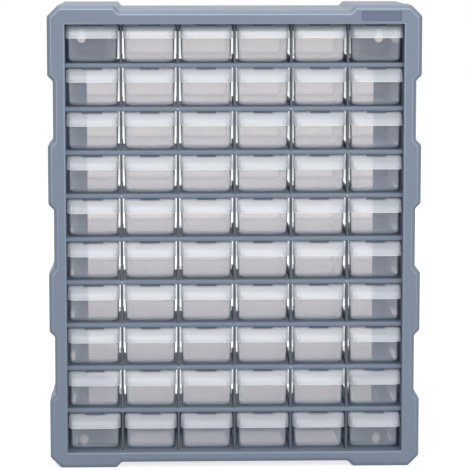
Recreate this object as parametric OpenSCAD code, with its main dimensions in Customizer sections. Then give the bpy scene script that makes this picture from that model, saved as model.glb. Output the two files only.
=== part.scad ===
// Parts bin cabinet: a two-part moulded housing with a grid of cells and a clear drawer in each.
// Millimetres. X runs across the front, Y towards the back, Z up. Depths are counted from the
// bezel's face. Row 1 is the top row and column 1 the left one.

/* [Cells] */
// Drawers side by side
columns = 6; // [3:1:6]
// Drawers one above the other
rows = 10; // [3:1:10]
// Clear width of a cell
cell_w = 55.2; // [48:0.1:64]
// Clear height of a cell
cell_h = 39.7; // [34:0.1:48]
// Width of the bars between the columns
bar_w = 2.6; // [2:0.1:5]
// Height of the rails between the rows
rail_h = 4.8; // [4:0.1:8]
// Depth of the bars and rails
rail_d = 8; // [7:0.5:14]
// Radius of the rails' upper front edge
rail_round = 1.6; // [0.5:0.1:2]
// How far the grid lies behind the bezel's face
grid_setback = 12.5; // [8:0.5:14]
// Length of the shelves, from the front of the grid
shelf_l = 77.5; // [60:0.5:100]
// Thickness of the shelves
shelf_t = 2; // [1.5:0.1:3]

/* [Shelf details] */
// Height of the guide ribs on the shelves
guide_h = 5; // [3:0.5:10]
// Thickness of the guide ribs
guide_t = 2; // [1.2:0.1:3]
// Width of the notch at the back of each shelf
notch_w = 31; // [20:0.5:40]
// Depth of that notch
notch_l = 25; // [10:0.5:40]
// Corner of that notch
notch_corner = 4; // [1:0.5:8]
// Width of the stop tab above each drawer
tab_w = 22; // [12:0.5:30]
// How far the stop tab hangs down
tab_drop = 1.8; // [1.2:0.1:3]
// Length of the stop tab, front to back
tab_l = 4.5; // [2:0.1:5]
// How far the stop tab lies behind the grid's front
tab_setback = 1.5; // [0.5:0.1:2.5]

/* [Cabinet] */
// Bezel width beside the cells
side_border = 17.9; // [16:0.1:30]
// Bezel height above the cells
top_border = 19.1; // [17:0.1:30]
// Bezel height below the cells
bottom_border = 15.7; // [14:0.1:30]
// Depth of the front frame's skirt
frame_d = 42; // [30:0.5:60]
// Wall of the two mouldings; the bezel is as thick as its bevel is deep
shell_t = 2.4; // [1.6:0.1:3]
// Wall of the collar around the cells
collar_t = 2; // [1.5:0.1:3]
// Chamfer where the bezel meets the cells
mouth_chamfer = 1.2; // [0.5:0.1:1.8]
// Width of the bevel around the bezel, at its sides
bevel_w = 4; // [1:0.1:6]
// Depth of that bevel
bevel_d = 3.2; // [1:0.1:6]

/* [Outline] */
// Depth of the steps between the bulges of the outline
step = 5.5; // [3:0.1:7]
// Height of the bulges at the corners
corner_bulge_h = 71; // [40:1:90]
// Height of the two bulges on each side
mid_bulge_h = 60; // [30:1:80]
// Width of the bulges at the ends of the top and the base
foot_w = 68; // [40:1:90]
// Chamfer at the corners of the outline
corner_chamfer = 11; // [5:0.5:15]

/* [Rear housing] */
// How far the housing lies inside the front frame where they meet
joint_inset = 0.6; // [0.3:0.1:1.5]
// How much further in its sides and its top lie at the back than at the front
rear_draft = 1.1; // [0.5:0.1:4]
// Length of the lip that plugs into the front frame
lap_l = 6; // [3:0.5:12]
// Thickness of that lip
lap_t = 1.8; // [1.2:0.1:2.4]
// Gap between that lip and the front frame
lap_gap = 0.3; // [0.2:0.1:0.6]
// Width of the flange at each side of the rear window
rear_flange = 18; // [8:0.5:30]
// Height of the bars above and below the rear window
rear_bar = 14.4; // [8:0.2:30]
// Width of the plates in the window's corners
plate_w = 52; // [36:0.5:60]
// Height of those plates
plate_h = 52; // [40:0.5:60]
// Chamfer of those plates
plate_chamfer = 13; // [4:0.5:18]
// Distance of the wall screws from the side of the cells
keyhole_side = 12.7; // [10:0.1:18]
// Distance of the wall screws from the top and bottom of the cells
keyhole_end = 22; // [18:0.1:30]
// Diameter that a wall screw's head passes through
keyhole_d = 9.5; // [7:0.1:11]
// Width of the slot that holds a wall screw's neck
keyslot_w = 4.5; // [3:0.1:6]
// Height of that slot above the head hole
keyslot_h = 8; // [6:0.5:12]

/* [Name-plate recess] */
// Width of the recess
recess_w = 40.6; // [20:0.1:60]
// Height of the recess
recess_h = 9.6; // [5:0.1:12]
// Depth of the recess
recess_t = 0.7; // [0.3:0.1:1.2]
// Distance of the recess from the right-hand side of the cells
recess_side = 3.3; // [1:0.1:20]
// Distance of the recess from the top of the cells
recess_lift = 3.2; // [2.5:0.1:5]

/* [Drawers] */
// Length of a drawer's tub
drawer_l = 135; // [110:0.5:180]
// How far a drawer's front wall lies behind the bezel's face
drawer_setback = 20; // [16:0.5:24]
// Gap at each side of a drawer's rim
drawer_side_gap = 2.35; // [1:0.05:4]
// Gap under a drawer
drawer_seat_gap = 0.3; // [0.3:0.05:1]
// Gap above a drawer's rim
rim_gap = 0.6; // [0.3:0.05:1]
// Gap behind a closed drawer
rear_gap = 2.6; // [1:0.1:6]
// Wall of a drawer
drawer_t = 1.5; // [1:0.1:2.5]
// How much narrower each side of a drawer is at its floor
drawer_draft = 1; // [0.5:0.1:3]
// Radius along a drawer's lower edges
drawer_round = 6; // [3:0.5:9]
// Gap between the stop tab and the notch in a drawer's front
tab_gap = 0.5; // [0.3:0.05:1]

/* [Drawer pulls] */
// How far a pull reaches past the bezel's face
pull_proud = 2; // [0.5:0.1:6]
// Height of a pull
pull_h = 13.4; // [8:0.1:16]
// Gap at each side of a pull
pull_side_gap = 1.75; // [0.8:0.05:3]
// Wall of a pull
pull_t = 1.6; // [1:0.1:2]
// Radius of a pull's front corners
pull_round = 10; // [2.5:0.5:14]

/* [Hidden] */
cabinet_blue = "#7f8da0";
clear_plastic = "#d4d8de";
arc_steps = 5;
pull_steps = 8;
quarter_turn = 90;
mitre = sqrt(2) - 1;
eps = 1;
fine = 32;

pitch_x = cell_w + bar_w;
pitch_z = cell_h + rail_h;
opening_w = columns * pitch_x - bar_w;
opening_h = rows * pitch_z - rail_h;
face_t = max(shell_t, bevel_d);
cabinet_w = opening_w + 2 * side_border;
cabinet_h = bottom_border + opening_h + top_border;
cabinet_d = drawer_setback + drawer_l + rear_gap + shell_t;
opening_mid = bottom_border + opening_h / 2;
bulge_gap = round(10 * (cabinet_h - 2 * corner_bulge_h - 2 * mid_bulge_h) / 3) / 10;
grid_back = grid_setback + rail_d;
shelf_back = grid_setback + shelf_l;
tab_front = grid_setback + tab_setback;
tab_back = tab_front + tab_l;

drawer_h = cell_h - drawer_seat_gap - rim_gap;
drawer_w = cell_w - 2 * drawer_side_gap;
notch_floor = cell_h - drawer_seat_gap - tab_drop - tab_gap;
pull_w = cell_w - 2 * pull_side_gap;
pull_reach = drawer_setback + pull_proud;

// The bezel's face lies here, so that the whole cabinet is centred front to back.
bezel_y = pull_proud - (cabinet_d + pull_proud) / 2;

function cell_x(c) = (c - (columns + 1) / 2) * pitch_x;
function floor_z(r) = bottom_border + (rows - r) * pitch_z;
function reverse(p) = [for (i = [len(p) - 1:-1:0]) p[i]];

// A quarter of an outline, from the top round to the right, mirrored to all four quarters
function four_ways(q, mid) = [for (v = concat(
    q,
    reverse([for (v = q) [v.x, -v.y]]),
    [for (v = q) [-v.x, -v.y]],
    reverse([for (v = q) [-v.x, v.y]])
)) [v.x, v.y + mid]];

// The cabinet's outline, standing on z = 0, with bulges at its corners and sides and steps of depth s
// between them. Its sides and its top lie in by taper, and then the whole outline moves inwards by d.
function outline(taper, s, d = 0) = let (
    x = cabinet_w / 2 - taper - d,
    z = (cabinet_h - taper) / 2 - d,
    m = d * mitre,
    foot = x - foot_w + d + m,
    low = bulge_gap / 2 + m,
    high = bulge_gap / 2 + mid_bulge_h - m,
    corner = bulge_gap * 3 / 2 + mid_bulge_h + m
) four_ways([
    [foot - s, z - s],
    [foot, z],
    [x - corner_chamfer + d - m, z],
    [x, z - corner_chamfer + d - m],
    [x, corner],
    [x - s, corner - s],
    [x - s, high + s],
    [x, high],
    [x, low],
    [x - s, low - s]
], (cabinet_h - taper) / 2);

// The rear window, cut in at its corners by the plates that carry the keyholes
function window_outline() = let (
    x = opening_w / 2,
    z = opening_h / 2,
    plate_x = x - plate_w,
    plate_z = z - plate_h
) four_ways([
    [plate_x, z - rear_bar],
    [plate_x, plate_z + plate_chamfer],
    [plate_x + plate_chamfer, plate_z],
    [x - rear_flange, plate_z]
], opening_mid);

// A solid of a flat XZ shape between two depths
module along_y(from, to) translate([0, to, 0]) rotate([90, 0, 0]) linear_extrude(to - from) children();

// A solid of a flat YZ shape, centred on x = 0
module along_x(w) translate([-w / 2, 0, 0]) rotate([90, 0, 90]) linear_extrude(w) children();

// The rectangle around all cells, grown by g
module opening_shape(g = 0) translate([-opening_w / 2 - g, bottom_border - g])
    square([opening_w + 2 * g, opening_h + 2 * g]);

// What the chamfer around the cells' mouth takes away
module mouth() intersection() {
    linear_extrude(cabinet_h) polygon(mouth_section(opening_w));
    translate([0, 0, opening_mid]) rotate([0, quarter_turn, 0]) translate([0, 0, -cabinet_w / 2])
        linear_extrude(cabinet_w) polygon(mouth_section(opening_h));
}
function mouth_section(w) = let (wide = w / 2 + mouth_chamfer + eps, narrow = w / 2 - eps)
    [[-wide, -eps], [wide, -eps], [narrow, mouth_chamfer + eps], [-narrow, mouth_chamfer + eps]];

// Bevel around the bezel: the outline shrinks evenly towards the middle of the face
module bevel_block() translate([0, bevel_d, cabinet_h / 2]) rotate([quarter_turn, 0, 0])
    linear_extrude(bevel_d, scale = 1 - 2 * bevel_w / cabinet_w)
        translate([0, -cabinet_h / 2]) polygon(outline(0, step));

// Block of the front frame, hollow behind its face
module frame_shell() difference() {
    union() {
        along_y(bevel_d, frame_d) polygon(outline(0, step));
        bevel_block();
    }
    along_y(face_t, frame_d + eps) difference() {
        polygon(outline(0, step, shell_t));
        opening_shape(collar_t);
    }
    along_y(-eps, frame_d + eps) opening_shape();
    mouth();
}

// Walls around the cells, as deep as the shelves
module collar() along_y(face_t - eps, shelf_back) difference() {
    opening_shape(collar_t);
    opening_shape();
}

// Front rail of a shelf and the plate behind it, cut along Y, with the floor at z = 0
module rail_section() {
    translate([0, -rail_h]) square([rail_d, rail_h - rail_round]);
    translate([rail_round, -rail_h]) square([rail_d - rail_round, rail_h]);
    translate([rail_round, -rail_round]) circle(r = rail_round, $fn = fine);
}

// Plan of the notches at the back of one shelf
module notches() for (c = [1:columns]) translate([cell_x(c), shelf_back]) polygon([
    [-notch_w / 2, eps],
    [-notch_w / 2, notch_corner - notch_l],
    [notch_corner - notch_w / 2, -notch_l],
    [notch_w / 2 - notch_corner, -notch_l],
    [notch_w / 2, notch_corner - notch_l],
    [notch_w / 2, eps]
]);

// One shelf under row r
module shelf(r) translate([0, 0, floor_z(r)]) {
    translate([0, grid_setback, 0]) along_x(opening_w + collar_t) rail_section();
    translate([0, 0, -shelf_t]) linear_extrude(shelf_t) difference() {
        translate([-(opening_w + collar_t) / 2, grid_back - eps])
            square([opening_w + collar_t, shelf_back - grid_back + eps]);
        notches();
    }
}

// Ribs that keep neighbouring drawers of row r apart
module guides(r) for (c = [1:columns - 1])
    translate([cell_x(c) + pitch_x / 2 - guide_t / 2, grid_back - eps, floor_z(r) - shelf_t / 2])
        cube([guide_t, shelf_back - grid_back + eps, guide_h + shelf_t / 2]);

// Bars between the columns
module bars() for (c = [1:columns - 1])
    translate([cell_x(c) + pitch_x / 2 - bar_w / 2, grid_setback, bottom_border - collar_t / 2])
        cube([bar_w, rail_d, opening_h + collar_t]);

// Stop tab over each cell of row r
module tabs(r) for (c = [1:columns]) translate([cell_x(c), 0, floor_z(r) + cell_h])
    along_y(tab_front, tab_back) polygon([
        [-tab_w / 2, eps],
        [tab_w / 2, eps],
        [tab_w / 2, 0],
        [tab_w / 2 - tab_drop, -tab_drop],
        [tab_drop - tab_w / 2, -tab_drop],
        [-tab_w / 2, 0]
    ]);

// Front frame: bezel, skirt, collar and the whole grid in one moulding
module front_frame() color(cabinet_blue) difference() {
    union() {
        frame_shell();
        collar();
        for (r = [1:rows - 1]) shelf(r);
        for (r = [1:rows]) guides(r);
        for (r = [1:rows]) tabs(r);
        bars();
    }
    translate([opening_w / 2 - recess_side - recess_w, -eps, cabinet_h - top_border + recess_lift])
        cube([recess_w, recess_t + eps, recess_h]);
}

// Keyhole for a wall screw: a round hole for its head and a slot above for its neck
module keyhole() translate([0, cabinet_d + eps, 0]) rotate([90, 0, 0]) {
    cylinder(d = keyhole_d, h = shell_t + 2 * eps, $fn = fine);
    translate([0, keyslot_h, 0]) cylinder(d = keyslot_w, h = shell_t + 2 * eps, $fn = fine);
    translate([-keyslot_w / 2, 0, 0]) cube([keyslot_w, keyslot_h, shell_t + 2 * eps]);
}

// Block of the rear housing: the outline, cut by planes that lean in towards the back
module housing_block(from, to, d) intersection() {
    along_y(from, to) polygon(outline(joint_inset, step, d));
    linear_extrude(cabinet_h) polygon([for (v = [[-1, 0], [1, 0], [1, 1], [-1, 1]])
        [v.x * (cabinet_w / 2 - joint_inset - d - v.y * rear_draft), v.y > 0 ? cabinet_d : frame_d]]);
    along_x(cabinet_w) polygon([for (v = [[0, 0], [0, 1], [1, 1], [1, 0]])
        [v.x > 0 ? cabinet_d : frame_d, v.y * (cabinet_h - joint_inset - d - v.x * rear_draft)]]);
}

// Rear housing: a tapered shell with a window in its back and a lip that plugs into the frame
module rear_housing() color(cabinet_blue) difference() {
    union() {
        housing_block(frame_d, cabinet_d, 0);
        along_y(frame_d - lap_l, frame_d + eps) polygon(outline(0, step, shell_t + lap_gap));
    }
    along_y(frame_d - lap_l - eps, frame_d + eps) polygon(outline(0, step, shell_t + lap_gap + lap_t));
    housing_block(frame_d, cabinet_d - shell_t, shell_t);
    along_y(cabinet_d - shell_t - eps, cabinet_d + eps) polygon(window_outline());
    for (x = [-1, 1]) for (z = [-1, 1]) translate([
        x * (opening_w / 2 - keyhole_side), 0, opening_mid + z * (opening_h / 2 - keyhole_end)
    ]) keyhole();
}

// Cross-section of a tub: flat floor, rounded lower edges and leaning sides
function tub_section(w, base_w, low, high, r) = let (
    half = [for (i = [0:arc_steps]) let (a = i * quarter_turn / arc_steps)
        [base_w / 2 - r + r * sin(a), low + r - r * cos(a)]]
) concat(
    half,
    [[w / 2, high], [-w / 2, high]],
    reverse([for (v = half) [-v.x, v.y]])
);

// Side view of a pull: a quarter ellipse that drops forwards from the rim of the front wall
function pull_section(reach, drop) = concat(
    [for (i = [0:pull_steps]) let (a = i * quarter_turn / pull_steps)
        [-reach * sin(a), drawer_h - pull_h + drop * cos(a)]],
    [[drawer_t, drawer_h - pull_h], [drawer_t, drawer_h - pull_h + drop]]
);

// Plan of a pull, with a straight front and two rounded corners
module pull_plan(w, reach, r) {
    translate([-w / 2, r - reach]) square([w, reach - r + drawer_t]);
    translate([-w / 2 + r, -reach]) square([w - 2 * r, r + eps]);
    for (x = [-1, 1]) translate([x * (w / 2 - r), r - reach]) circle(r = r, $fn = fine);
}

// Space under a surface like a pull's, with width w and radii reach and drop
module pull_body(w, reach, drop, r) intersection() {
    along_x(w) polygon(pull_section(reach, drop));
    linear_extrude(drawer_h + eps) pull_plan(w, reach, r);
}

// Notch for the stop tab in the pull and the front wall, moved outwards by d
module tab_notch(d = 0) along_y(-pull_reach - eps, drawer_t + eps) let (
    low = notch_floor - d,
    high = drawer_h + eps,
    half = tab_w / 2 - tab_drop + tab_gap + d
) polygon([
    [-half, low],
    [half, low],
    [half + high - low, high],
    [low - high - half, high]
]);

// One drawer, with the outside of its front wall at y = 0 and its floor on z = 0. Its rear wall
// meets the stop tab when it is pulled out.
module drawer() color(clear_plastic) difference() {
    union() {
        along_y(0, drawer_l)
            polygon(tub_section(drawer_w, drawer_w - 2 * drawer_draft, 0, drawer_h, drawer_round));
        pull_body(pull_w, pull_reach, pull_h, pull_round);
    }
    tab_notch();
    along_y(drawer_t, drawer_l - drawer_t) polygon(tub_section(
        drawer_w - 2 * drawer_t,
        drawer_w - 2 * drawer_draft - 2 * drawer_t,
        drawer_t,
        drawer_h + eps,
        drawer_round - drawer_t
    ));
    difference() {
        translate([0, 0, -eps])
            pull_body(pull_w - 2 * pull_t, pull_reach - pull_t, pull_h - pull_t + eps, pull_round - pull_t);
        translate([-drawer_w / 2, 0, -eps]) cube([drawer_w, drawer_t + eps, drawer_h]);
        tab_notch(pull_t);
    }
}

// A drawer in its cell
module drawer_in_cell(r, c) translate([cell_x(c), drawer_setback, floor_z(r) + drawer_seat_gap]) drawer();

// In the bottom row, the two drawers at each end are drawn together
function starts_pair(s) = s[0] == rows && (s[1] == 1 || s[1] == columns - 1);
function ends_pair(s) = s[0] == rows && (s[1] == 2 || s[1] == columns);
function two_digits(n) = str(n < 10 ? "0" : "", n);
function drawer_node(s) = starts_pair(s)
    ? str("drawers_r", two_digits(s[0]), "_c", s[1], "_c", s[1] + 1)
    : str("drawer_r", two_digits(s[0]), "_c", s[1]);
drawer_sites = [for (r = [1:rows]) for (c = [1:columns]) if (!ends_pair([r, c])) [r, c]];

translate([0, bezel_y, 0]) front_frame();
translate([0, bezel_y, 0]) rear_housing();
for (s = drawer_sites) translate([0, bezel_y, 0]) {
    drawer_in_cell(s[0], s[1]);
    if (starts_pair(s)) drawer_in_cell(s[0], s[1] + 1);
}
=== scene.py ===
import math
import bpy
import bmesh
import numpy as np
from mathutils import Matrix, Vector
from mathutils.geometry import delaunay_2d_cdt


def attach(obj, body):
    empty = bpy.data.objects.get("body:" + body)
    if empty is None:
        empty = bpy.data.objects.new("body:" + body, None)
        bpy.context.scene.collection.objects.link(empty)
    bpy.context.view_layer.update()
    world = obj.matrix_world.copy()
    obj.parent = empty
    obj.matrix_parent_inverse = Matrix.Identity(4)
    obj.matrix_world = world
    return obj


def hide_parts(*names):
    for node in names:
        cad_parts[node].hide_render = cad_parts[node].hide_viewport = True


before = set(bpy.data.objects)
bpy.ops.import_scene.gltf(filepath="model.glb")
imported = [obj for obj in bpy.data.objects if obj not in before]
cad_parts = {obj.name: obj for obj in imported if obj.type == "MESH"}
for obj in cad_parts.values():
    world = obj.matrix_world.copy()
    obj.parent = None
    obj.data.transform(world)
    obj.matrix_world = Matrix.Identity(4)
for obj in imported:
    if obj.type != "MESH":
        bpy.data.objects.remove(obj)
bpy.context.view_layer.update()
mm = 0.001

# What every piece is placed by, in millimetres. Depths count from the bezel's face, which is at bezelY.
cabinet = {
    "columns": 6, "rows": 10, "cellW": 55.2, "cellH": 39.7, "barW": 2.6, "railH": 4.8,
    "sideBorder": 17.9, "topBorder": 19.1, "bottomBorder": 15.7,
    "frameD": 42.0, "depth": 160.0, "bezelY": -79.0,
    "step": 5.5, "cornerBulge": 71.0, "midBulge": 60.0, "footW": 68.0, "cornerChamfer": 11.0,
    "cornerRound": 3.0, "leastRound": 0.25, "mostRound": 5.0,
    "gridFront": 12.5, "railD": 8.0, "shelfBack": 90.0, "shelfT": 2.0, "wall": 2.4, "collar": 2.0,
}
rows, columns = range(1, cabinet["rows"] + 1), range(1, cabinet["columns"] + 1)
pitchX = cabinet["cellW"] + cabinet["barW"]
pitchZ = cabinet["cellH"] + cabinet["railH"]
openW = cabinet["columns"] * pitchX - cabinet["barW"]
openH = cabinet["rows"] * pitchZ - cabinet["railH"]
halfW, halfH = openW / 2, openH / 2
wide = openW + 2 * cabinet["sideBorder"]
high = openH + cabinet["topBorder"] + cabinet["bottomBorder"]
openMid = cabinet["bottomBorder"] + halfH
# what the bulges leave of a side, in three equal gaps, to a tenth of a millimetre
bulgeGap = round(10 * (high - 2 * cabinet["cornerBulge"] - 2 * cabinet["midBulge"]) / 3) / 10


def cellX(column):
    return (column - (cabinet["columns"] + 1) / 2) * pitchX


def floorZ(row):
    return cabinet["bottomBorder"] + (cabinet["rows"] - row) * pitchZ


# Points in millimetres, counted from the bezel's face, become one mesh in metres. Points closer than merge
# become one, and faces are shaded smooth where they meet at less than smooth degrees.
def makePiece(name, points, faces, material, smooth=35, merge=0.004):
    mesh = bpy.data.meshes.new(name)
    placed = (np.asarray(points, dtype=float) + [0, cabinet["bezelY"], 0]) * mm
    mesh.from_pydata(placed.tolist(), [], [list(map(int, face)) for face in faces])
    bm = bmesh.new()
    bm.from_mesh(mesh)
    bmesh.ops.remove_doubles(bm, verts=bm.verts, dist=merge * mm)
    bmesh.ops.dissolve_degenerate(bm, edges=bm.edges, dist=merge * mm * 0.5)
    bmesh.ops.recalc_face_normals(bm, faces=bm.faces)
    bm.to_mesh(mesh)
    bm.free()
    mesh.polygons.foreach_set("use_smooth", np.ones(len(mesh.polygons), dtype=bool))
    mesh.set_sharp_from_angle(angle=math.radians(smooth))
    mesh.materials.append(material)
    piece = bpy.data.objects.new(name, mesh)
    bpy.context.scene.collection.objects.link(piece)
    return piece


# The places of a mesh's vertices ("co") or of its faces' middles ("center"), in millimetres from a corner
def placesOf(items, label, corner):
    flat = np.empty(len(items) * 3)
    items.foreach_get(label, flat)
    return (flat.reshape(-1, 3) / mm - corner).T


# One list of points and faces from several
def joined(parts):
    starts = np.cumsum([0] + [len(points) for points, faces in parts])
    faces = [[int(i) + int(start) for i in face]
             for (points, some), start in zip(parts, starts) for face in some]
    return np.vstack([points for points, some in parts]), faces


# Quads of a grid of m rows of n points; closedN joins the last point of each row to its first
def gridFaces(m, n, closedN=False):
    i, j = np.meshgrid(np.arange(m - 1), np.arange(n if closedN else n - 1), indexing="ij")
    i2, j2 = i + 1, (j + 1) % n
    return np.stack([i * n + j, i2 * n + j, i2 * n + j2, i * n + j2], axis=-1).reshape(-1, 4).tolist()


# Flat points (u, v) at a height w along an axis: in the plane across y, across z or across x
def alongY(flat, w):
    flat = np.asarray(flat, dtype=float)
    return np.stack([flat[:, 0], np.full(len(flat), float(w)), flat[:, 1]], axis=1)


def alongZ(flat, w):
    return np.stack([flat[:, 0], flat[:, 1], np.full(len(flat), float(w))], axis=1)


def alongX(flat, w):
    return np.stack([np.full(len(flat), float(w)), flat[:, 0], flat[:, 1]], axis=1)


def rectangle(x0, x1, z0, z1):
    return np.array([[x0, z1], [x1, z1], [x1, z0], [x0, z0]], dtype=float)


# A closed path with its corners rounded. Each arc starts radius * tan(half the turn) before its corner, and
# its points are the first radius turned about the arc's centre by equal shares of the turn.
def rounded(corners, radii, steps=5):
    corners = np.asarray(corners, dtype=float)
    before = corners - np.roll(corners, 1, axis=0)
    before /= np.linalg.norm(before, axis=1)[:, None]
    after = np.roll(before, -1, axis=0)
    turn = np.arctan2(before[:, 0] * after[:, 1] - before[:, 1] * after[:, 0], (before * after).sum(axis=1))
    radii = np.broadcast_to(np.asarray(radii, dtype=float), turn.shape)
    side = np.sign(turn)[:, None] * np.stack([-before[:, 1], before[:, 0]], axis=1)
    centre = corners - before * (radii * np.tan(np.abs(turn) / 2))[:, None] + side * radii[:, None]
    angle = turn[:, None] * np.linspace(0, 1, steps)[None, :]
    arm = -side * radii[:, None]
    x = centre[:, :1] + arm[:, :1] * np.cos(angle) - arm[:, 1:] * np.sin(angle)
    z = centre[:, 1:] + arm[:, :1] * np.sin(angle) + arm[:, 1:] * np.cos(angle)
    return np.stack([x.ravel(), z.ravel()], axis=1)


# A quarter of a path mirrored to all four quarters, clockwise, about the height mid
def fourWays(quarter, mid):
    q = np.asarray(quarter, dtype=float)
    return np.vstack([q, (q * [1, -1])[::-1], q * [-1, -1], (q * [-1, 1])[::-1]]) + [0, mid]


# The cabinet's outline moved inwards by d, with steps s deep between its bulges and its sides and top in by
# taper. An edge at 45 degrees moves its ends by tan(22.5 degrees) of d.
def outline(taper, s, d):
    x, z, m = wide / 2 - taper - d, (high - taper) / 2 - d, d * (math.sqrt(2) - 1)
    foot, chamfer = x - cabinet["footW"] + d + m, cabinet["cornerChamfer"] - d + m
    low, top = bulgeGap / 2 + m, bulgeGap / 2 + cabinet["midBulge"] - m
    corner = bulgeGap * 1.5 + cabinet["midBulge"] + m
    corners = fourWays([
        [foot - s, z - s], [foot, z], [x - chamfer, z], [x, z - chamfer], [x, corner],
        [x - s, corner - s], [x - s, top + s], [x, top], [x, low], [x - s, low - s],
    ], (high - taper) / 2)
    # the foot of each step is a hollow corner, which grows rounder as the outline moves in
    hollow = np.isin(np.arange(10), [0, 5, 6, 9])
    hollow = np.tile(np.r_[hollow, hollow[::-1]], 2)
    radii = cabinet["cornerRound"] + np.where(hollow, d, -d)
    return rounded(corners, np.clip(radii, cabinet["leastRound"], cabinet["mostRound"]))


# The even-odd rule: a point is inside where a ray from it crosses the loops' edges an odd number of times
def inside(points, loops):
    a = np.vstack(loops)
    b = np.vstack([np.roll(loop, -1, axis=0) for loop in loops])
    x, z = points[:, :1], points[:, 1:]
    spans = (a[None, :, 1] > z) != (b[None, :, 1] > z)
    # a level edge spans nothing, so any rise does for it
    rise = np.where(b[:, 1] == a[:, 1], 1e-12, b[:, 1] - a[:, 1])
    cross = a[None, :, 0] + (z - a[None, :, 1]) / rise[None, :] * (b[:, 0] - a[:, 0])[None, :]
    return (spans & (x < cross)).sum(axis=1) % 2 == 1


# Triangles that fill the flat area between closed loops: the first is the outside, the others are holes
def filled(loops):
    loops = [np.asarray(loop, dtype=float) for loop in loops]
    starts = np.cumsum([0] + [len(loop) for loop in loops])
    edges = [np.stack([start + np.arange(len(loop)), start + (np.arange(len(loop)) + 1) % len(loop)], axis=1)
             for loop, start in zip(loops, starts)]
    corners = [Vector(point) for point in np.vstack(loops).tolist()]
    outputType, tolerance = 0, 1e-5  # triangles with a convex hull
    out = delaunay_2d_cdt(corners, np.vstack(edges).tolist(), [], outputType, tolerance)
    points = np.array([[point.x, point.y] for point in out[0]])
    faces = np.array(out[2])
    return points, faces[inside(points[faces].mean(axis=1), loops)].tolist()


# A flat shape between two heights along an axis: the filled shape at both ends and a strip along each loop
def slab(loops, low, top, along):
    points, faces = filled(loops)
    parts = [(along(points, w), faces) for w in (low, top)]
    for loop in loops:
        loop = np.asarray(loop, dtype=float)
        strip = np.vstack([along(loop, low), along(loop, top)])
        parts.append((strip, gridFaces(2, len(loop), closedN=True)))
    return joined(parts)


# sRGB hex to linear: the straight part below 0.04045 and the 2.4 power above it
def linear(code):
    part = np.array([int(code[i:i + 2], 16) / 255 for i in (1, 3, 5)])
    part = np.where(part <= 0.04045, part / 12.92, ((part + 0.055) / 1.055) ** 2.4)
    return (*part.tolist(), 1.0)


# Adds one node, sets its settings and sockets, and links sources into it. Sockets go by name, or by number
# where names repeat: a map range takes 0 and turns the span 1 to 2 into 3 to 4, and a colour mix blends 6
# and 7 by 0.
def addNode(tree, kind, settings=None, inputs=None, links=None):
    node = tree.nodes.new(kind)
    for key, value in (settings or {}).items():
        setattr(node, key, value)
    for key, value in (inputs or {}).items():
        node.inputs[key].default_value = value
    for key, source in (links or {}).items():
        tree.links.new(source, node.inputs[key])
    return node


def newMaterial(name):
    material = bpy.data.materials.new(name)
    material.use_nodes = True
    material.node_tree.nodes.clear()
    return material, material.node_tree


# What all the blue-grey finishes share. low and high are the usual span of a noise.
housingSkin = {"ior": 1.55, "low": 0.3, "high": 0.7, "shinier": 0.05, "duller": 0.06, "bumpStrength": 0.35}


# High-impact polystyrene, injection moulded in a spark-eroded tool: an even satin skin with a fine grain
# that breaks up the gloss, and faint paler and darker flow marks a few centimetres across. flow and grain
# are sizes in millimetres, and so is the height of the bump.
def housingMoulding(name, finish):
    material, tree = newMaterial(name)
    place = addNode(tree, "ShaderNodeTexCoord").outputs["Object"]
    flow = addNode(tree, "ShaderNodeTexNoise",
                   inputs={"Scale": 1 / (finish["flow"] * mm), "Detail": 3.0, "Roughness": 0.55},
                   links={"Vector": place}).outputs["Fac"]
    # spark-eroded grain is near 0.1 mm; drawn coarser so that it shows
    grain = addNode(tree, "ShaderNodeTexNoise", inputs={"Scale": 1 / (finish["grain"] * mm), "Detail": 2.0},
                    links={"Vector": place}).outputs["Fac"]
    tint = addNode(tree, "ShaderNodeMix", {"data_type": "RGBA"},
                   {6: linear(finish["dark"]), 7: linear(finish["base"])}, {0: flow}).outputs[2]
    gloss = addNode(tree, "ShaderNodeMapRange",
                    inputs={1: housingSkin["low"], 2: housingSkin["high"],
                            3: finish["roughness"] - housingSkin["shinier"],
                            4: finish["roughness"] + housingSkin["duller"]}, links={0: flow})
    bump = addNode(tree, "ShaderNodeBump",
                   inputs={"Strength": housingSkin["bumpStrength"], "Distance": finish["bump"] * mm},
                   links={"Height": grain})
    # a painted highlight along the bezel's creases, where their small radii catch the light
    crease = addNode(tree, "ShaderNodeAttribute", {"attribute_name": "creaseLight"}).outputs["Fac"]
    tint = addNode(tree, "ShaderNodeMix", {"data_type": "RGBA"}, {7: linear(finish["crease"])},
                   {0: crease, 6: tint}).outputs[2]
    skin = addNode(tree, "ShaderNodeBsdfPrincipled", inputs={"IOR": housingSkin["ior"]},
                   links={"Base Color": tint, "Roughness": gloss.outputs[0], "Normal": bump.outputs[0]})
    addNode(tree, "ShaderNodeOutputMaterial", links={"Surface": skin.outputs[0]})
    return material


# The housing, a darker copy of it that paints shade, and the plate in the recess, which the tool leaves
# smooth
# crease is the colour of the painted highlight along the bezel's creases
housingPlastic = housingMoulding("mouldedPolystyreneHousing", {
    "base": "#7C8A9D", "dark": "#758395", "crease": "#A3B1C6",
    "roughness": 0.46, "grain": 0.9, "flow": 45.0, "bump": 0.035})
# paints the shade on the bars, guides and stop tabs, which stand between the pulls, and on the recess's
# walls
paintedShadePlastic = housingMoulding("mouldedPolystyrenePaintedShade", {
    "base": "#606A78", "dark": "#5A6471", "crease": "#606A78",
    "roughness": 0.5, "grain": 0.9, "flow": 45.0, "bump": 0.035})
platePlastic = housingMoulding("polishedPolystyrenePlate", {
    "base": "#5C6B86", "dark": "#586680", "crease": "#5C6B86",
    "roughness": 0.36, "grain": 0.9, "flow": 45.0, "bump": 0.01})

clearSkin = {"ior": 1.59, "hazeRoughness": 0.5, "hazeSpecular": 0.2, "bumpStrength": 0.2}
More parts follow.
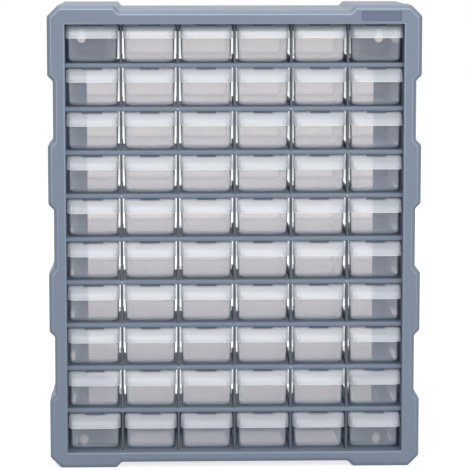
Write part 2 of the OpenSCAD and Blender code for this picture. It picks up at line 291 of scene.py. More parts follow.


# Clear polystyrene, injection moulded. Each wall has two skins. A skin passes a set share of the light that
# meets it face-on, and that share to the power of 1 / cos of the angle where light crosses it at a slant,
# so walls seen edge-on look denser. What stays is haze. The mirrored share grows with a power of 1 - cos:
# Schlick's is 5, and the two skins of a wall together come near 4. A painted glow, a paler haze that passes
# less, stands for the light led to edges, and a painted shade, a dark haze, for corners that bend the view
# away. Light that only lights something behind a skin is let through with a set tint.
def clearMoulding(name, finish):
    material, tree = newMaterial(name)
    place = addNode(tree, "ShaderNodeTexCoord").outputs["Object"]
    flow = addNode(tree, "ShaderNodeTexNoise", inputs={"Scale": 1 / (finish["flow"] * mm), "Detail": 2.0},
                   links={"Vector": place})
    bump = addNode(tree, "ShaderNodeBump",
                   inputs={"Strength": clearSkin["bumpStrength"], "Distance": finish["bump"] * mm},
                   links={"Height": flow.outputs["Fac"]})
    facing = addNode(tree, "ShaderNodeLayerWeight", inputs={"Blend": 0.5}).outputs["Facing"]
    glow = addNode(tree, "ShaderNodeAttribute", {"attribute_name": "edgeGlow"}).outputs["Fac"]
    shade = addNode(tree, "ShaderNodeAttribute", {"attribute_name": "edgeShade"}).outputs["Fac"]
    cosine = addNode(tree, "ShaderNodeMapRange",
                     inputs={1: 0.0, 2: 1 - finish["leastCos"], 3: 1.0, 4: finish["leastCos"]},
                     links={0: facing})
    crossed = addNode(tree, "ShaderNodeMath", {"operation": "DIVIDE"}, {0: 1.0}, {1: cosine.outputs[0]})
    passed = addNode(tree, "ShaderNodeMath", {"operation": "POWER"}, {0: finish["passed"]},
                     {1: crossed.outputs[0]})
    for share, lost in ((glow, finish["glow"]), (shade, finish["shade"])):
        kept = addNode(tree, "ShaderNodeMapRange", inputs={1: 0.0, 2: 1.0, 3: 1.0, 4: 1 - lost},
                       links={0: share})
        passed = addNode(tree, "ShaderNodeMath", {"operation": "MULTIPLY"},
                         links={0: passed.outputs[0], 1: kept.outputs[0]})
    slant = addNode(tree, "ShaderNodeMath", {"operation": "POWER"}, {1: finish["mirrorPower"]}, {0: facing})
    mirrored = addNode(tree, "ShaderNodeMapRange",
                       inputs={1: 0.0, 2: 1.0, 3: finish["mirror"], 4: finish["mirrorMost"]},
                       links={0: slant.outputs[0]})
    lit = addNode(tree, "ShaderNodeMix", {"data_type": "RGBA"},
                  {6: linear(finish["haze"]), 7: linear(finish["edge"])}, {0: glow})
    tint = addNode(tree, "ShaderNodeMix", {"data_type": "RGBA"}, {7: linear(finish["corner"])},
                   {0: shade, 6: lit.outputs[2]})
    haze = addNode(tree, "ShaderNodeBsdfPrincipled",
                   inputs={"Roughness": clearSkin["hazeRoughness"], "IOR": clearSkin["ior"],
                           "Specular IOR Level": clearSkin["hazeSpecular"]},
                   links={"Base Color": tint.outputs[2]})
    clear = addNode(tree, "ShaderNodeBsdfTransparent", inputs={"Color": linear(finish["clear"])})
    gloss = addNode(tree, "ShaderNodeBsdfGlossy",
                    inputs={"Roughness": finish["roughness"], "Color": (1, 1, 1, 1)},
                    links={"Normal": bump.outputs[0]})
    through = addNode(tree, "ShaderNodeBsdfTransparent", inputs={"Color": linear(finish["lamplight"])})
    path = addNode(tree, "ShaderNodeLightPath").outputs
    lighting = addNode(tree, "ShaderNodeMath", {"operation": "MAXIMUM"},
                       links={0: path["Is Shadow Ray"], 1: path["Is Diffuse Ray"]})
    skin = haze
    for share, other in ((passed, clear), (mirrored, gloss), (lighting, through)):
        skin = addNode(tree, "ShaderNodeMixShader",
                       links={0: share.outputs[0], 1: skin.outputs[0], 2: other.outputs[0]})
    addNode(tree, "ShaderNodeOutputMaterial", links={"Surface": skin.outputs[0]})
    return material


# The tub comes from a polished tool, and its pull is etched all over; both have a faint wavy bump. edge is
# the colour of the painted glow and corner that of the painted shade. flow and bump are in millimetres.
polishedClear = clearMoulding("polishedClearPolystyrene", {
    "passed": 0.81, "leastCos": 0.35, "clear": "#FFFCFA", "haze": "#C4D0E6", "lamplight": "#F8F9FA",
    "mirror": 0.03, "mirrorMost": 0.9, "mirrorPower": 4.0, "roughness": 0.08, "flow": 18.0, "bump": 0.05,
    "edge": "#E4E9EE", "glow": 0.4, "corner": "#2E333A", "shade": 0.9})
etchedClear = clearMoulding("etchedClearPolystyrene", {
    "passed": 0.64, "leastCos": 1.0, "clear": "#FFFFFF", "haze": "#E2E7F0", "lamplight": "#E6E8EA",
    "mirror": 0.03, "mirrorMost": 0.12, "mirrorPower": 4.0, "roughness": 0.35, "flow": 9.0, "bump": 0.06,
    "edge": "#FAFCFF", "glow": 0.35, "corner": "#3A4048", "shade": 0.6})

# The same blue-grey plastic where a gate was torn off: stress-whitened and rough, with grain near 0.4 mm
torn = {"base": "#B9C2CF", "pale": "#E8ECF2", "grain": 0.4, "roughness": 0.6, "ior": 1.55}
gatePlastic, tree = newMaterial("stressWhitenedPolystyrene")
place = addNode(tree, "ShaderNodeTexCoord").outputs["Object"]
grain = addNode(tree, "ShaderNodeTexNoise", inputs={"Scale": 1 / (torn["grain"] * mm), "Detail": 2.0},
                links={"Vector": place})
tint = addNode(tree, "ShaderNodeMix", {"data_type": "RGBA"},
               {6: linear(torn["base"]), 7: linear(torn["pale"])}, {0: grain.outputs["Fac"]})
skin = addNode(tree, "ShaderNodeBsdfPrincipled", inputs={"Roughness": torn["roughness"], "IOR": torn["ior"]},
               links={"Base Color": tint.outputs[2]})
addNode(tree, "ShaderNodeOutputMaterial", links={"Surface": skin.outputs[0]})
print("finishes made")


def onCabinet(piece, slotName, *nodes):
    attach(piece, "cabinet")
    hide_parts(*nodes)


bezel = {"bevelW": 4.0, "bevelD": 3.2, "mouth": 1.2, "faceInset": 5.2, "smooth": 28,
         "recessW": 40.6, "recessH": 9.6, "recessT": 0.7, "recessSide": 3.3, "recessLift": 3.2,
         "recessRound": 0.8, "recessLead": 0.15}


# A ring round the cells, grown by g, whose points answer to those of the outline: each outline point goes
# to the nearest point of the cells' rectangle, which is then scaled to the grown one
def cellRing(g):
    base = outline(0, cabinet["step"], bezel["faceInset"]) - [0, openMid]
    held = np.clip(base, [-halfW, -halfH], [halfW, halfH])
    return held * [(halfW + g) / halfW, (halfH + g) / halfH] + [0, openMid]


# The edge of the name plate's recess, grown by g
def recessRing(g, radius):
    right, top = recessX + bezel["recessW"], recessZ + bezel["recessH"]
    return rounded(rectangle(recessX - g, right + g, recessZ - g, top + g), radius, steps=4)


wall, collar, skirt, shelfBack = cabinet["wall"], cabinet["collar"], cabinet["frameD"], cabinet["shelfBack"]
bevelW, bevelD, mouth = bezel["bevelW"], bezel["bevelD"], bezel["mouth"]
slope = bevelD / bevelW
# The bezel's section, from the skirt's back edge forwards over the bevel to the flat face, as (inset,
# depth). The bevel is straight, and every edge is rounded by a few tenths of a millimetre.
outer = [
    (wall - 0.5, skirt), (0.5, skirt), (0.15, skirt - 0.15), (0, skirt - 0.5), (0, skirt - 1.0),
    (0, bevelD + 1.2), (0, bevelD + 0.5), (0.06, bevelD + 0.15), (0.25, bevelD - 0.18),
    (0.5, bevelD - 0.5 * slope), (bevelW - 0.7, 0.7 * slope), (bevelW - 0.45, 0.45 * slope),
    (bevelW - 0.2, 0.18), (bevelW + 0.1, 0.05), (bevelW + 0.45, 0.0), (bezel["faceInset"], 0.0),
]
# From the flat face over the chamfer into the cells, back along the collar and forwards outside it, as
# (growth, depth)
inner = [
    (mouth + 1.0, 0.0), (mouth + 0.3, 0.0), (mouth, 0.06), (mouth - 0.25, 0.25),
    (0.25, mouth - 0.25), (0.06, mouth), (0, mouth + 0.3), (0, mouth + 1.0),
    (0, shelfBack - 0.5), (0.1, shelfBack - 0.1), (0.5, shelfBack),
    (collar - 0.5, shelfBack), (collar - 0.1, shelfBack - 0.1), (collar, shelfBack - 0.5), (collar, bevelD),
]
# And behind the bezel out to the skirt's inside and back along it, as (inset, depth)
behind = [(wall + bevelW, bevelD), (wall, bevelD + 2.0), (wall, skirt - 0.5), (wall - 0.1, skirt - 0.15),
          (wall - 0.5, skirt)]
rings = [alongY(outline(0, cabinet["step"], inset), depth) for inset, depth in outer]
backRings = [alongY(cellRing(growth), depth) for growth, depth in inner]
backRings += [alongY(outline(0, cabinet["step"], inset), depth) for inset, depth in behind]
recessX = halfW - bezel["recessSide"] - bezel["recessW"]
recessZ = high - cabinet["topBorder"] + bezel["recessLift"]
recess = recessRing(0, bezel["recessRound"])
recessMouth = recessRing(bezel["recessLead"], bezel["recessRound"] + 0.1)
faceRing = cellRing(mouth + 1.0)
# without its repeated points
faceRing = faceRing[np.r_[True, np.abs(np.diff(faceRing, axis=0)).sum(axis=1) > 1e-6]]
facePoints, faceTriangles = filled([outline(0, cabinet["step"], bezel["faceInset"]), faceRing, recessMouth])
recessRings = [alongY(recessMouth, 0.0)]
recessRings += [alongY(recess, depth) for depth in (bezel["recessLead"], bezel["recessT"])]
recessFloor, recessTriangles = filled([recess])
points, faces = joined([
    (np.vstack(rings), gridFaces(len(rings), len(rings[0]), closedN=True)),
    (alongY(facePoints, 0.0), faceTriangles),
    (np.vstack(backRings), gridFaces(len(backRings), len(rings[0]), closedN=True)),
    (np.vstack(recessRings), gridFaces(len(recessRings), len(recess), closedN=True)),
    (alongY(recessFloor, bezel["recessT"]), recessTriangles),
])
frontBezel = makePiece("frontBezel", points, faces, housingPlastic, bezel["smooth"])
onCabinet(frontBezel, "housing", "front_frame")

# The recess's walls take the bars' darker plastic, painted shade, and its floor takes the plate's
x, y, z = placesOf(frontBezel.data.polygons, "center", [recessX, cabinet["bezelY"], recessZ])
margin, hair = 0.2, 0.01
within = (x > -margin) & (x < bezel["recessW"] + margin) & (z > -margin) & (z < bezel["recessH"] + margin)
within &= (y > hair) & (y < bezel["recessT"] + 0.1)
finishIndex = np.where(within, np.where(y > bezel["recessT"] - hair, 2, 1), 0)
for plastic in (paintedShadePlastic, platePlastic):
    frontBezel.data.materials.append(plastic)
frontBezel.data.polygons.foreach_set("material_index", finishIndex.astype(np.int32))

# A painted highlight along the bevel's inner crease and round the chamfer of the opening, down to a depth,
# but not round the recess. It is faint near the base and grows towards the top.
creases = {"from": 0.03, "bevelTo": 0.4, "mouthTo": 1.3, "mouthReach": 1.4, "margin": 0.5,
           "aboveCells": 2.0, "heights": [0, 130, 420], "shares": [0.2, 0.5, 1.0]}
x, y, z = placesOf(frontBezel.data.vertices, "co", [0, cabinet["bezelY"], openMid])
atMouth = (np.abs(x) < halfW + creases["mouthReach"]) & (np.abs(z) < halfH + creases["mouthReach"])
atRecess = (x > recessX - creases["margin"]) & (x < recessX + bezel["recessW"] + creases["margin"])
atRecess &= z > halfH + creases["aboveCells"]
atRecess &= z < recessZ - openMid + bezel["recessH"] + creases["margin"]
inCrease = (y > creases["from"]) & (y < np.where(atMouth, creases["mouthTo"], creases["bevelTo"]))
creaseLight = (inCrease & ~atRecess) * np.interp(z + openMid, creases["heights"], creases["shares"])
frontBezel.data.attributes.new("creaseLight", "FLOAT", "POINT").data.foreach_set("value", creaseLight)

# root is how far each of these runs into what carries it
grid = {"railRound": 1.5, "railFootRound": 0.9, "railBackRound": 0.4, "barRound": 1.25, "barBackRound": 0.3,
        "guideH": 5.0, "guideT": 2.0, "guideRound": 0.6, "guideFootRound": 0.2,
        "notchW": 31.0, "notchL": 25.0, "notchCorner": 4.0,
        "tabW": 22.0, "tabDrop": 1.8, "tabFront": 14.0, "tabBack": 18.5, "root": 1.0}
front, railBack, root = cabinet["gridFront"], cabinet["gridFront"] + cabinet["railD"], grid["root"]
# Rails: one section in (y, z) with its front edges rounded, carried across the opening
railRounds = [grid["railRound"], grid["railBackRound"], grid["railBackRound"], grid["railFootRound"]]
railSection = rounded(rectangle(front, railBack, -cabinet["railH"], 0), railRounds, steps=6)
parts = [slab([railSection + [0, floorZ(row)]], -halfW - root, halfW + root, alongX) for row in rows[:-1]]
# Shelves: the plate behind each rail, with a notch under each drawer
half, cut, length = grid["notchW"] / 2, grid["notchCorner"], grid["notchL"]
notch = np.array([[-half, 0], [-half, cut - length], [cut - half, -length],
                  [half - cut, -length], [half, cut - length], [half, 0]])
plan = np.vstack([[[-halfW - root, railBack - root], [-halfW - root, shelfBack]]]
                 + [notch + [cellX(column), shelfBack] for column in columns]
                 + [[[halfW + root, shelfBack], [halfW + root, railBack - root]]])
parts += [slab([plan], floorZ(row) - cabinet["shelfT"], floorZ(row), alongZ) for row in rows[:-1]]
points, faces = joined(parts)
onCabinet(makePiece("gridShelves", points, faces, housingPlastic), "housing", "front_frame")

# Bars between the columns, in (x, y) with rounded front edges, and guide ribs on the shelves behind them
barRounds = [grid["barBackRound"], grid["barBackRound"], grid["barRound"], grid["barRound"]]
barBox = rectangle(-cabinet["barW"] / 2, cabinet["barW"] / 2, front, railBack)
barSection = rounded(barBox, barRounds, steps=6)
guideRounds = [grid["guideRound"], grid["guideRound"], grid["guideFootRound"], grid["guideFootRound"]]
guideBox = rectangle(-grid["guideT"] / 2, grid["guideT"] / 2, -root, grid["guideH"])
guideSection = rounded(guideBox, guideRounds, steps=4)
barLow, barTop = cabinet["bottomBorder"] - root, cabinet["bottomBorder"] + openH + root
parts = []
for column in columns[:-1]:
    x = cellX(column) + pitchX / 2
    parts.append(slab([barSection + [x, 0]], barLow, barTop, alongZ))
    parts += [slab([guideSection + [x, floorZ(row)]], railBack - root, shelfBack, alongY) for row in rows]
points, faces = joined(parts)
# the bars and the guide ribs take the darker plastic that paints their shade
onCabinet(makePiece("gridBars", points, faces, paintedShadePlastic), "housing", "front_frame")

# Stop tabs that hang over the drawers, with ends at 45 degrees
half, drop = grid["tabW"] / 2, grid["tabDrop"]
tabSection = np.array([[-half, root], [half, root], [half, 0],
                       [half - drop, -drop], [drop - half, -drop], [-half, 0]])
tabs = [tabSection + [cellX(column), floorZ(row) + cabinet["cellH"]] for row in rows for column in columns]
parts = [slab([tab], grid["tabFront"], grid["tabBack"], alongY) for tab in tabs]
points, faces = joined(parts)
# the tabs take the same darker plastic, painted shade
onCabinet(makePiece("stopTabs", points, faces, paintedShadePlastic), "housing", "front_frame")

# Gate marks: low domes where bars and rails cross, by (column, row). Height follows cos of the angle out
# from the middle, and a last ring closes each dome behind the surface.
gate = {"radius": 0.8, "height": 0.35, "tip": 0.02, "rings": 5, "sides": 12, "root": 0.2,
        "crossings": [(2, 2), (4, 2), (1, 4), (5, 4), (1, 6), (5, 6), (2, 8), (4, 8)]}
out, around = np.meshgrid(np.linspace(gate["tip"], math.pi / 2, gate["rings"]),
                          np.linspace(0, 2 * math.pi, gate["sides"], endpoint=False), indexing="ij")
dome = np.stack([gate["radius"] * np.sin(out) * np.cos(around), -gate["height"] * np.cos(out),
                 gate["radius"] * np.sin(out) * np.sin(around)], axis=-1).reshape(-1, 3)
dome = np.vstack([dome, dome[-gate["sides"]:] + [0, gate["root"], 0]])
domeFaces = gridFaces(gate["rings"] + 1, gate["sides"], closedN=True)
domeFaces += [list(range(gate["sides"])), list(range(len(dome) - gate["sides"], len(dome)))]
parts = [(dome + [cellX(column) + pitchX / 2, front, floorZ(row) - cabinet["railH"] / 2], domeFaces)
         for column, row in gate["crossings"]]
points, faces = joined(parts)
onCabinet(makePiece("gateMarks", points, faces, gatePlastic), "housing", "front_frame")
print("front frame made")

# seam is the line left between the housing and the skirt
rear = {"inset": 0.6, "draft": 1.1, "edge": 1.6, "seam": 0.05, "innerRound": 1.2, "smooth": 28,
        "lapL": 6.0, "lapT": 1.8, "lapGap": 0.3, "lapRound": 0.3, "lapLead": 0.4,
        "flange": 18.0, "bar": 14.4, "plateW": 52.0, "plateH": 52.0, "plateChamfer": 13.0, "plateRound": 1.5,
        "keySide": 12.7, "keyEnd": 22.0, "keyD": 9.5, "slotW": 4.5, "slotH": 8.0,
        "headSteps": 25, "slotSteps": 9}


# The housing's outline at a depth: its sides and top draw in, and its steps get shallower, towards the back
def rearOutline(y, d):
    share = (y - skirt) / (cabinet["depth"] - skirt)
    draft = rear["draft"] * min(max(share, 0), 1)
    return outline(rear["inset"] + draft, cabinet["step"] - draft, d)


# A keyhole's edge: the head's circle, open at the top by the slot's width, and the slot's round end
def keyhole(x, z):
    gap = math.asin(rear["slotW"] / rear["keyD"])
    head = np.linspace(math.pi / 2 + gap, math.pi * 5 / 2 - gap, rear["headSteps"])
    neck = np.linspace(0, math.pi, rear["slotSteps"])
    head = np.stack([np.cos(head), np.sin(head)], axis=1) * rear["keyD"] / 2
    neck = np.stack([np.cos(neck), np.sin(neck)], axis=1) * rear["slotW"] / 2 + [0, rear["slotH"]]
    return np.vstack([head, neck]) + [x, z]


backY, insideY, edge = cabinet["depth"], cabinet["depth"] - wall, rear["edge"]
lip, lapFront, innerRound = wall + rear["lapGap"], skirt - rear["lapL"], rear["innerRound"]
lipIn, lapRound, lapLead = lip + rear["lapT"], rear["lapRound"], rear["lapLead"]
# The section, as (inset, depth): from the back over a quarter round, forwards to the seam
quarterRound = [(1, 0), (0.62, 0.07), (0.29, 0.29), (0.07, 0.62), (0, 1)]
section = [(edge * u, backY - edge * v) for u, v in quarterRound]
section += [(0, backY - edge - 1), (0, skirt + 1.0), (0, skirt + 0.3), (0.3, skirt + rear["seam"])]
# round the lip that plugs into the skirt
lap = [(lip, skirt + rear["seam"]), (lip, lapFront + lapLead), (lip + lapRound, lapFront),
       (lipIn - lapRound, lapFront), (lipIn, lapFront + lapLead), (lipIn, skirt + 2.0)]
# and back along the inside
lining = [(wall, skirt + 6.0), (wall, insideY - innerRound),
          (wall + 0.3, insideY - 0.35), (wall + innerRound, insideY)]
rings = [alongY(rearOutline(depth, inset), depth) for inset, depth in section]
rings += [alongY(outline(0, cabinet["step"], inset), depth) for inset, depth in lap]
rings += [alongY(rearOutline(depth, inset), depth) for inset, depth in lining]
# The open back, less the flange, the bars and the four corner plates with their keyholes
x, z, chamfer = halfW - rear["plateW"], halfH - rear["plateH"], rear["plateChamfer"]
quarter = [[x, halfH - rear["bar"]], [x, z + chamfer], [x + chamfer, z], [halfW - rear["flange"], z]]
window = rounded(fourWays(quarter, openMid), rear["plateRound"], steps=4)
holes = [keyhole(across * (halfW - rear["keySide"]), openMid + up * (halfH - rear["keyEnd"]))
         for across in (-1, 1) for up in (-1, 1)]
parts = [(np.vstack(rings), gridFaces(len(rings), len(rings[0]), closedN=True))]
for loop, y in ((rearOutline(backY, edge), backY), (rearOutline(insideY, wall + innerRound), insideY)):
    flat, triangles = filled([loop, window] + holes)
    parts.append((alongY(flat, y), triangles))
for loop in [window] + holes:
    strip = np.vstack([alongY(loop, backY), alongY(loop, insideY)])
    parts.append((strip, gridFaces(2, len(loop), closedN=True)))
points, faces = joined(parts)
onCabinet(makePiece("rearShell", points, faces, housingPlastic, rear["smooth"]), "housing", "rear_housing")
print("rear housing made")

drawer = {"length": 135.0, "setback": 20.0, "width": 52.3, "height": 38.8, "seat": 0.3, "wall": 1.5,
          "draft": 1.0, "endDraft": 0.3, "round": 6.0, "rim": 0.25, "notchLow": 9.7, "notchFloor": 37.1,
          "corner": 2.5, "innerCorner": 1.3, "cornerGrowth": 0.4, "floorCorner": 2.4, "rimCorner": 0.2,
          "support": 1.0, "planSupport": 0.35, "notchDepth": 4.5, "notchBand": 1.5,
          "smooth": 40, "merge": 0.002}
# places are shares of the half width, and turns are angles down the hood. browStep keeps its brow crisp.
pull = {"width": 53.7, "reach": 21.9, "height": 13.4, "wall": 1.6, "drop": 0.05, "clear": 0.06,
        "cornerX": 9.0, "cornerY": 11.0, "endPower": 14.0,
        "places": [0.65, 0.72, 0.78, 0.8, 0.83, 0.86, 0.88, 0.91, 0.94, 0.965, 0.985, 0.994, 0.9985, 1.0],
        "turns": [0, 0.2, 0.4], "browStep": 0.02, "lowTurns": (0.65, 1.3, 6),
        "lipHeights": [0.19, 0.15, 0.1]}
notchHigh = drawer["notchLow"] + drawer["height"] - drawer["notchFloor"]
lipZ = drawer["height"] - pull["height"]


# Height of the notch for the stop tab at a place across the front: flat in the middle and rising at 45
# degrees
def notchHeight(x):
    return drawer["notchFloor"] + np.maximum(np.abs(x) - drawer["notchLow"], 0)


# A tub's ring: a plan of half width a, from b0 to b1, with rounded corners. Its arcs are closed in by
# support points, so that its flats stay flat.
def planLoop(a, b0, b1, corner):
    support, arc = drawer["planSupport"], np.linspace(0, 1, 6) * math.pi / 2
    # the left front corner, from its front edge round to its side; the other three are its mirrors
    bend = np.stack([-np.sin(arc), 1 - np.cos(arc)], axis=1) * corner
    left = np.vstack([[[support, 0]], bend, [[-corner, corner + support]]]) - [a - corner, 0]
    leftFront, rightFront = left + [0, b0], left * [-1, 1] + [0, b0]
    leftBack, rightBack = left * [1, -1] + [0, b1], left * [-1, -1] + [0, b1]
    notch = np.array([[x, b0] for x in (-notchHigh, -drawer["notchLow"], drawer["notchLow"], notchHigh)])
    return np.vstack([leftFront[::-1], notch, rightFront, rightBack[::-1], leftBack])


# The tub: rings go up the inside from the middle of the floor, over the rim and down the outside to the
# middle of the base. The lower edges turn by a quarter circle: inset r(1 - cos t) at height r(1 - sin t).
def tubShell():
    h, t, r, rim = drawer["height"], drawer["wall"], drawer["round"], drawer["rim"]
    half, length = drawer["width"] / 2, drawer["length"]
    corner, innerCorner = drawer["corner"], drawer["innerCorner"]
    growth, floorCorner, rimCorner = drawer["cornerGrowth"], drawer["floorCorner"], drawer["rimCorner"]
    support = drawer["support"]  # how far a ring that holds an edge stands from it

    def level(z, inset, corner):
        lean = drawer["draft"] * (1 - z / h)
        endLean = lean * drawer["endDraft"]
        return alongZ(planLoop(half - lean - inset, inset + endLean, length - inset - endLean, corner), z)

    # the quarter circle, for a radius of 1, as (inset, height) from the side down to the base
    roll = [(1 - math.cos(q), 1 - math.sin(q)) for q in np.linspace(0, math.pi / 2, 7)]
    heights = (r + support, lipZ - support, lipZ + support, h - support, h - rim)
    ri = r - t
    rings = [level(t, t + ri + support, innerCorner + floorCorner)]
    rings += [level(t + ri * up, t + ri * into, innerCorner + ri * into * growth) for into, up in roll[::-1]]
    rings += [level(z, t, innerCorner) for z in heights] + [level(h, t - rim, innerCorner + rimCorner)]
    rings += [level(h, rim, corner - rimCorner)] + [level(z, 0, corner) for z in heights[::-1]]
    rings += [level(r * up, r * into, corner + r * into * growth) for into, up in roll]
    rings += [level(0, r + support, corner + floorCorner)]
    points, n = np.vstack(rings), len(rings[0])
    # the notch cuts the front wall's rim down
    nearRim = (points[:, 1] < drawer["notchDepth"]) & (points[:, 2] > h - drawer["notchBand"])
    points[:, 2] -= np.where(nearRim, np.clip(h - notchHeight(points[:, 0]), 0, None), 0)
    base = (len(rings) - 1) * n
    faces = gridFaces(len(rings), n, closedN=True)
    faces += [list(range(base, base + n)), list(range(n - 1, -1, -1))]
    return points, faces


# The pull: over each place across it, a quarter ellipse from the rim out and down to the lip. Its reach
# shrinks round elliptical corners, and its height falls to nothing at its ends as (1 - |x|^p)^(1/p). Its
# inside is inset by under.
def hoodSurface(under, drop):
    half, reach, height = pull["width"] / 2 - under, pull["reach"] - under, pull["height"] - drop
    cornerX, cornerY = pull["cornerX"] - under, pull["cornerY"] - under
    share = np.r_[0, drawer["notchLow"] / half, notchHigh / half, pull["places"]]
    share = np.r_[-share[:0:-1], share]
    x = share * half
    fall = (1 - np.abs(share) ** pull["endPower"]) ** (1 / pull["endPower"])
    beyond = np.clip((np.abs(x) - (half - cornerX)) / cornerX, 0, 1)
    reachAt = reach - cornerY * (1 - np.sqrt(1 - beyond ** 2))
    brow = math.acos((drawer["notchFloor"] - lipZ) / pull["height"])
    t = np.r_[pull["turns"], brow, brow + pull["browStep"], np.linspace(*pull["lowTurns"]),
              np.arccos(pull["lipHeights"]), math.pi / 2]
    y = -reachAt[:, None] * np.sin(t)[None, :] - pull["clear"]  # a hair clear of the front wall
    z = lipZ + height * fall[:, None] * np.cos(t)[None, :]
    z = np.minimum(z, notchHeight(x)[:, None] - under)
    return np.stack([np.repeat(x[:, None], len(t), axis=1), y, z], axis=-1)


# The hood's outside and inside, and strips that join them along the lip, the rim and the two ends
def hoodShell():
    over, under = hoodSurface(0, pull["drop"]), hoodSurface(pull["wall"], pull["wall"])
    m, n = over.shape[:2]
    inner = m * n  # where the inside's points start
    first = np.array(gridFaces(m, n))
    second = (first + inner)[:, ::-1]
    i, j = np.arange(m - 1) * n, np.arange(n - 1)
    lipEdge = np.stack([i + n - 1, i + 2 * n - 1, i + 2 * n - 1 + inner, i + n - 1 + inner], axis=1)
    rimEdge = np.stack([i + n, i, i + inner, i + n + inner], axis=1)
    ends = [np.stack([j, j + 1, j + 1 + inner, j + inner], axis=1) + k * (m - 1) * n for k in (0, 1)]
    points = np.vstack([over.reshape(-1, 3), under.reshape(-1, 3)])
    return points, np.vstack([first, second, lipEdge, rimEdge] + ends).tolist()


# A share that falls evenly from 1 to 0 over the reach
def near(distance, reach):
    return np.clip(1 - np.abs(distance) / reach, 0, 1)


# Shares of painted glow and painted shade, each with the distance in millimetres over which it falls to
# nothing
glow = {"lip": 0.6, "lipReach": 1.3, "top": 0.8, "topReach": 6.0,
        "line": 0.8, "lineIn": 4.7, "lineReach": 1.0, "lineUp": 5.0, "lineLength": 4.5,
        "rim": 0.5, "rimReach": 1.2, "base": 0.9, "baseUp": 1.5, "baseReach": 4.5,
        "wall": 0.5, "wallIn": 2.6, "wallReach": 0.8, "frontDepth": 6.0}
shade = {"steep": 2.0, "reach": 1.3, "beyond": 0.3, "behindPull": 0.85, "fade": 2.0, "frontDepth": 10.0}


# Gives the pull its etched finish, and each point its share of painted glow: along the pull's lip and top,
# in a faint line near each end of it, and round the rim, the base and the front of the tub. The tub's
# upright corners get a share of painted shade, and the pull's haze drowns it where the pull stands before
# them.
def finishDrawer(piece, corner):
    mesh = piece.data
    mesh.materials.append(etchedClear)
    x, y, z = placesOf(mesh.vertices, "co", corner)
    x = np.abs(x)
    onHood = y < -pull["clear"] / 2
    side = drawer["width"] / 2 - drawer["draft"] * (1 - z / drawer["height"])
    # a painted highlight in a short upright line near each end of the pull
    endGlint = near(x - (pull["width"] / 2 - glow["lineIn"]), glow["lineReach"])
    endGlint = endGlint * near(z - lipZ - glow["lineUp"], glow["lineLength"])
    onPull = np.maximum(glow["lip"] * near(z - lipZ, glow["lipReach"]), glow["line"] * endGlint)
    onPull = np.maximum(onPull, glow["top"] * near(z - drawer["height"], glow["topReach"]))
    onTub = np.maximum(glow["rim"] * near(z - drawer["height"], glow["rimReach"]),
                       glow["base"] * near(z - glow["baseUp"], glow["baseReach"]))
    onTub = np.maximum(onTub, glow["wall"] * near(x - side + glow["wallIn"], glow["wallReach"]))
    onTub = onTub * (y < glow["frontDepth"])
    reach = drawer["corner"] + shade["beyond"]
    atEnd = np.maximum(near(y, reach), near(y - drawer["length"], reach)) > 0
    aboveLip = np.clip((z - lipZ) / shade["fade"] + 0.5, 0, 1)
    hidden = shade["behindPull"] * aboveLip * (y < shade["frontDepth"])
    onCorner = np.minimum(shade["steep"] * near(x - side, shade["reach"]), 1) * (atEnd * (1 - hidden))
    shares = {"edgeGlow": np.where(onHood, onPull, onTub), "edgeShade": np.where(onHood, 0, onCorner)}
    for label, values in shares.items():
        mesh.attributes.new(label, "FLOAT", "POINT").data.foreach_set("value", values)
    depth = placesOf(mesh.polygons, "center", corner)[1]
    mesh.polygons.foreach_set("material_index", (depth < -pull["clear"] / 2).astype(np.int32))


# The bottom row's two left-hand drawers stand for one node, and so do its two right-hand ones
points, faces = joined([tubShell(), hoodShell()])
for row in rows:
    for column in columns:
        first = column - 1 if row == cabinet["rows"] and column in (2, cabinet["columns"]) else column
        pair = row == cabinet["rows"] and first in (1, cabinet["columns"] - 1)
        node = f"drawers_r{row:02d}_c{first}_c{first + 1}" if pair else f"drawer_r{row:02d}_c{column}"
        corner = np.array([cellX(column), drawer["setback"], floorZ(row) + drawer["seat"]])
        piece = makePiece(f"clearDrawer_r{row:02d}_c{column}", points + corner, faces, polishedClear,
                          drawer["smooth"], drawer["merge"])
        finishDrawer(piece, corner + [0, cabinet["bezelY"], 0])
        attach(piece, node)
        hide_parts(node)
print("drawers made")

# The camera's places are in millimetres, and the floor's and the lamps' in metres. The floor and the world
# add what makes them white where they are seen straight, in a reflection or through plastic; that part
# lights nothing, and the floor's own paint carries the object's shadow.
studio = {"floor": "#C4C4C4", "floorSeen": 0.76, "floorSide": 6.0, "floorDrop": 0.0005, "sky": 0.48,
          "lens": 196.9, "sensor": 36.0,
          "distance": 2600.0, "cameraX": -82.0, "cameraZ": 575.0, "targetZ": 241.5}
# name: place, target, size and power in watts
lamps = {
    "topSoftbox": ((-0.3, -0.5, 1.9), (0, 0, 0.3), 1.4, 15),
    "frontSoftbox": ((0.5, -2.4, 1.2), (0, 0, 0.2), 1.5, 24),
    "backSoftbox": ((0.3, 2.4, 1.0), (0, 0, 0.25), 1.8, 9),
}


# 1 for rays that show a surface, 0 for rays that only light one
def seenRays(tree):
    path = addNode(tree, "ShaderNodeLightPath").outputs
    seen = addNode(tree, "ShaderNodeMath", {"operation": "MAXIMUM"},
                   links={0: path["Is Camera Ray"], 1: path["Is Transmission Ray"]})
    seen = addNode(tree, "ShaderNodeMath", {"operation": "MAXIMUM"},
                   links={0: seen.outputs[0], 1: path["Is Glossy Ray"]})
    return seen.outputs[0]


# Turns an object at a place towards a target, and puts it in the scene
def aim(holder, place, target):
    holder.location = place
    holder.rotation_euler = (Vector(target) - Vector(place)).to_track_quat("-Z", "Y").to_euler()
    bpy.context.scene.collection.objects.link(holder)


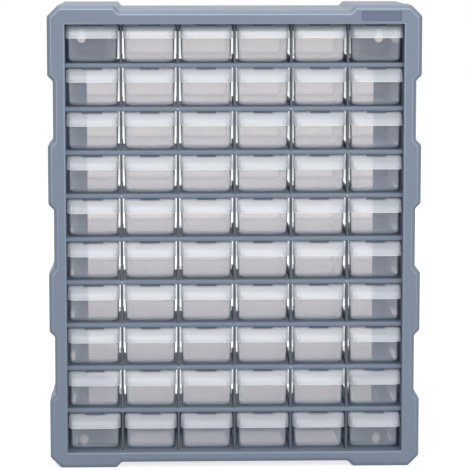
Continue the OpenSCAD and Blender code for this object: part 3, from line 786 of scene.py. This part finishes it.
# A matt painted board
floorPaint, tree = newMaterial("paleStudioFloor")
coat = addNode(tree, "ShaderNodeBsdfDiffuse", inputs={"Color": linear(studio["floor"])})
share = addNode(tree, "ShaderNodeMath", {"operation": "MULTIPLY"}, {1: studio["floorSeen"]},
                {0: seenRays(tree)})
white = addNode(tree, "ShaderNodeEmission", inputs={"Color": (1, 1, 1, 1)},
                links={"Strength": share.outputs[0]})
both = addNode(tree, "ShaderNodeAddShader", links={0: coat.outputs[0], 1: white.outputs[0]})
addNode(tree, "ShaderNodeOutputMaterial", links={"Surface": both.outputs[0]})
mesh = bpy.data.meshes.new("studioFloor")
side = studio["floorSide"]
board = rectangle(-side, side, -side, side)
mesh.from_pydata(alongZ(board, -studio["floorDrop"]).tolist(), [], [(3, 2, 1, 0)])
mesh.materials.append(floorPaint)
floor = bpy.data.objects.new("studioFloor", mesh)
bpy.context.scene.collection.objects.link(floor)

scene = bpy.context.scene
scene.world = bpy.data.worlds.new("studioWorld")
scene.world.use_nodes = True
tree = scene.world.node_tree
tree.nodes.clear()
strength = addNode(tree, "ShaderNodeMapRange", inputs={1: 0.0, 2: 1.0, 3: studio["sky"], 4: 1.0},
                   links={0: seenRays(tree)})
sky = addNode(tree, "ShaderNodeBackground", inputs={"Color": (1, 1, 1, 1)},
              links={"Strength": strength.outputs[0]})
addNode(tree, "ShaderNodeOutputWorld", links={"Surface": sky.outputs[0]})

for name, (place, target, size, power) in lamps.items():
    lamp = bpy.data.lights.new(name, "AREA")
    lamp.shape, lamp.size, lamp.energy = "SQUARE", size, power
    holder = bpy.data.objects.new(name, lamp)
    aim(holder, place, target)
    # the lamp behind would show as a white patch in the clear plastic
    holder.visible_glossy = name != "backSoftbox"

camera = bpy.data.cameras.new("studioCamera")
camera.lens, camera.sensor_width = studio["lens"], studio["sensor"]
camera.clip_start, camera.clip_end = 0.1, 50
scene.camera = bpy.data.objects.new("studioCamera", camera)
cameraY = cabinet["bezelY"] - studio["distance"]
aim(scene.camera, (studio["cameraX"] * mm, cameraY * mm, studio["cameraZ"] * mm),
    (0.0, cabinet["bezelY"] * mm, studio["targetZ"] * mm))

scene.view_settings.view_transform = "Standard"
scene.cycles.max_bounces = 12
scene.cycles.transparent_max_bounces = 64
print("studio made")
